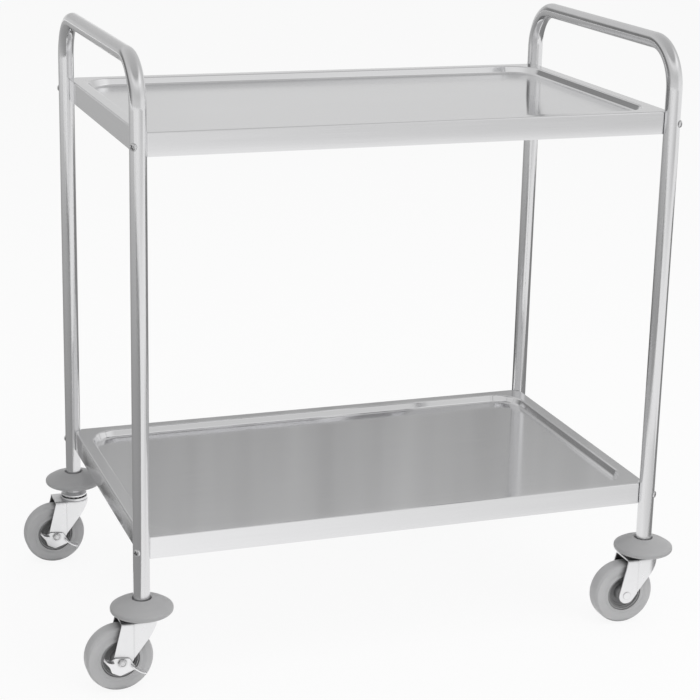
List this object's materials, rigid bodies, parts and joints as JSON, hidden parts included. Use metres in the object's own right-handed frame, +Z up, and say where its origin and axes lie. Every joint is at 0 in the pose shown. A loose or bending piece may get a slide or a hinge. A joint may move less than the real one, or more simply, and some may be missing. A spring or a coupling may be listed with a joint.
{
  "type": "service cart",
  "caption": "Stainless tube-framed service cart with pressed trays, push handles, round bumpers and swivel casters, those at one end with rocking brake levers.",
  "frame": {"origin": "on the floor, under the middle of the cart's box with the casters trailing to -X", "axes": "+X along the cart from the braked end to the free end, +Y from front to rear, +Z up"},
  "size_m": [0.9695, 0.6, 0.9525],
  "materials": {
    "polished_tube": "polished",
    "tray_sheet": "brushed",
    "fastener": "bright",
    "zinc_plate": "bright zinc plated",
    "lever_plate": "bright zinc plated",
    "bearing_steel": "polished",
    "bumper_rubber": "satin",
    "tyre_rubber": "satin, non-marking grey",
    "hub_plastic": "satin moulded",
    "bush_plastic": "natural",
    "socket_plastic": "moulded"
  },
  "bodies": {
    "frame": {"left_end_frame": "polished_tube", "right_end_frame": "polished_tube", "upper_tray": "tray_sheet", "upper_tray_bolts": "fastener", "upper_tray_saddle_washers": "fastener", "upper_tray_nuts": "fastener", "lower_tray": "tray_sheet", "lower_tray_bolts": "fastener", "lower_tray_saddle_washers": "fastener", "lower_tray_nuts": "fastener", "front_left_bumper": "bumper_rubber", "front_left_stem_socket": "socket_plastic", "front_left_swivel_head": "zinc_plate", "front_left_stem": "zinc_plate", "rear_left_bumper": "bumper_rubber", "rear_left_stem_socket": "socket_plastic", "rear_left_swivel_head": "zinc_plate", "rear_left_stem": "zinc_plate", "front_right_bumper": "bumper_rubber", "front_right_stem_socket": "socket_plastic", "front_right_swivel_head": "zinc_plate", "front_right_stem": "zinc_plate", "rear_right_bumper": "bumper_rubber", "rear_right_stem_socket": "socket_plastic", "rear_right_swivel_head": "zinc_plate", "rear_right_stem": "zinc_plate"},
    "front_left_swivel": {"front_left_fork": "zinc_plate", "front_left_bearing_balls": "bearing_steel", "front_left_axle_bolt": "fastener", "front_left_axle_nut": "fastener"},
    "front_left_wheel": {"front_left_tyre": "tyre_rubber", "front_left_hub": "hub_plastic", "front_left_bush": "bush_plastic"},
    "front_left_brake": {"front_left_brake_lever": "lever_plate"},
    "rear_left_swivel": {"rear_left_fork": "zinc_plate", "rear_left_bearing_balls": "bearing_steel", "rear_left_axle_bolt": "fastener", "rear_left_axle_nut": "fastener"},
    "rear_left_wheel": {"rear_left_tyre": "tyre_rubber", "rear_left_hub": "hub_plastic", "rear_left_bush": "bush_plastic"},
    "rear_left_brake": {"rear_left_brake_lever": "lever_plate"},
    "front_right_swivel": {"front_right_fork": "zinc_plate", "front_right_bearing_balls": "bearing_steel", "front_right_axle_rivet": "fastener"},
    "front_right_wheel": {"front_right_tyre": "tyre_rubber", "front_right_hub": "hub_plastic", "front_right_bush": "bush_plastic"},
    "rear_right_swivel": {"rear_right_fork": "zinc_plate", "rear_right_bearing_balls": "bearing_steel", "rear_right_axle_rivet": "fastener"},
    "rear_right_wheel": {"rear_right_tyre": "tyre_rubber", "rear_right_hub": "hub_plastic", "rear_right_bush": "bush_plastic"}
  },
  "joints": [
    {"name": "front_left_swivel_turn", "type": "hinge", "parent": "frame", "child": "front_left_swivel", "pos_m": [-0.39775, -0.2525, 0.1213], "axis": [0, 0, 1], "continuous": true},
    {"name": "front_left_wheel_spin", "type": "hinge", "parent": "front_left_swivel", "child": "front_left_wheel", "pos_m": [-0.43375, -0.2525, 0.051], "axis": [0, 1, 0], "continuous": true},
    {"name": "front_left_brake_rock", "type": "hinge", "parent": "front_left_swivel", "child": "front_left_brake", "pos_m": [-0.43375, -0.2525, 0.051], "axis": [0, 1, 0], "range_deg": [-50, 0]},
    {"name": "rear_left_swivel_turn", "type": "hinge", "parent": "frame", "child": "rear_left_swivel", "pos_m": [-0.39775, 0.2525, 0.1213], "axis": [0, 0, 1], "continuous": true},
    {"name": "rear_left_wheel_spin", "type": "hinge", "parent": "rear_left_swivel", "child": "rear_left_wheel", "pos_m": [-0.43375, 0.2525, 0.051], "axis": [0, 1, 0], "continuous": true},
    {"name": "rear_left_brake_rock", "type": "hinge", "parent": "rear_left_swivel", "child": "rear_left_brake", "pos_m": [-0.43375, 0.2525, 0.051], "axis": [0, 1, 0], "range_deg": [-50, 0]},
    {"name": "front_right_swivel_turn", "type": "hinge", "parent": "frame", "child": "front_right_swivel", "pos_m": [0.43725, -0.2525, 0.1213], "axis": [0, 0, 1], "continuous": true},
    {"name": "front_right_wheel_spin", "type": "hinge", "parent": "front_right_swivel", "child": "front_right_wheel", "pos_m": [0.40125, -0.2525, 0.051], "axis": [0, 1, 0], "continuous": true},
    {"name": "rear_right_swivel_turn", "type": "hinge", "parent": "frame", "child": "rear_right_swivel", "pos_m": [0.43725, 0.2525, 0.1213], "axis": [0, 0, 1], "continuous": true},
    {"name": "rear_right_wheel_spin", "type": "hinge", "parent": "rear_right_swivel", "child": "rear_right_wheel", "pos_m": [0.40125, 0.2525, 0.051], "axis": [0, 1, 0], "continuous": true}
  ]
}
